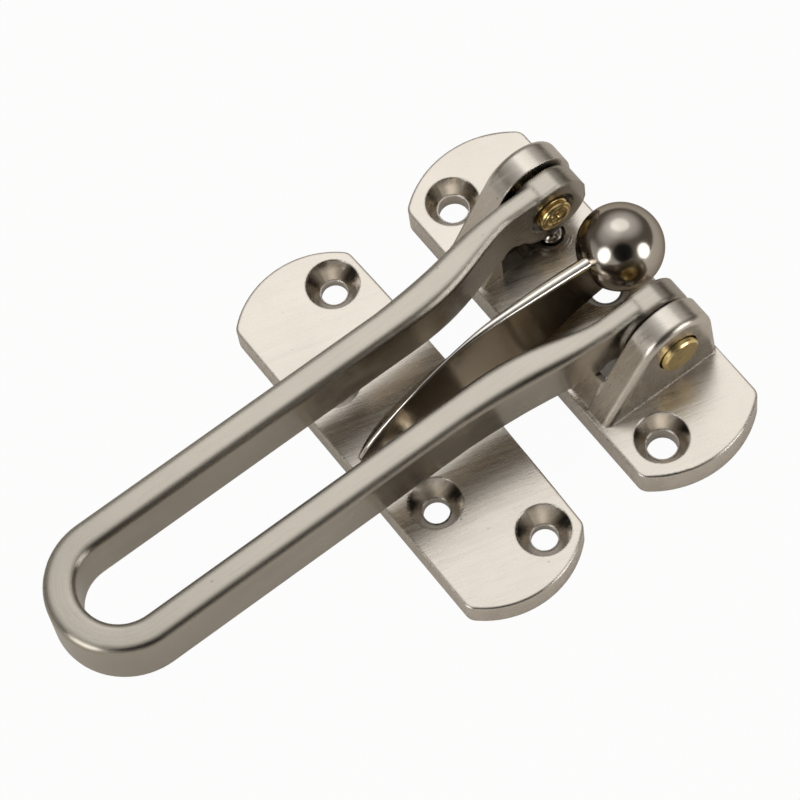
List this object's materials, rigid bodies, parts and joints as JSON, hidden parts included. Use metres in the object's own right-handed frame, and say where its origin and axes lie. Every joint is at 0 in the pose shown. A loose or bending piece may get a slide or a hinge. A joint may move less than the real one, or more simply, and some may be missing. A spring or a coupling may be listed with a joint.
{
  "type": "swing-bar door guard",
  "caption": "Swing-bar door guard in satin nickel: a U-shaped bar hinged on a two-eared plate, closed over a ball on a curved horn of the strike plate.",
  "frame": {"origin": "middle of the hinge plate's back face", "axes": "+X from the strike plate to the hinge plate, along the closed bar; +Y across, along both plates; +Z out of the door, away from the mounting faces"},
  "size_m": [0.1164, 0.0722, 0.022],
  "materials": {
    "satin_nickel": "satin nickel plate on cast metal, finely brushed",
    "polished_nickel": "polished nickel plate",
    "turned_brass": "turned brass, not plated",
    "turned_steel": "turned and plated",
    "bright_steel": "bright hardened steel",
    "spring_steel": "drawn spring wire"
  },
  "bodies": {
    "base": {"hinge_plate": "satin_nickel", "strike_plate": "satin_nickel", "ball_horn": "polished_nickel", "pivot_pin_left": "turned_brass", "pivot_pin_right": "turned_brass", "detent_collar_left": "turned_steel", "detent_collar_right": "turned_steel", "detent_spring_left": "spring_steel", "detent_spring_right": "spring_steel"},
    "bar": {"swing_bar": "satin_nickel"},
    "plunger_left": {"detent_plunger_left": "bright_steel"},
    "plunger_right": {"detent_plunger_right": "bright_steel"}
  },
  "joints": [
    {"name": "bar_swing", "type": "hinge", "parent": "base", "child": "bar", "pos_m": [0.00366, 0, 0.0147], "axis": [0, 1, 0], "range_deg": [0, 180]},
    {"name": "plunger_travel_left", "type": "slide", "parent": "base", "child": "plunger_left", "axis": [0, 0, 1], "range_m": [-0.0008, 0], "stiffness_N_per_m": 300, "springref_m": 0.0005, "deforming": ["detent_spring_left"]},
    {"name": "plunger_travel_right", "type": "slide", "parent": "base", "child": "plunger_right", "axis": [0, 0, 1], "range_m": [-0.0008, 0], "stiffness_N_per_m": 300, "springref_m": 0.0005, "deforming": ["detent_spring_right"]}
  ]
}
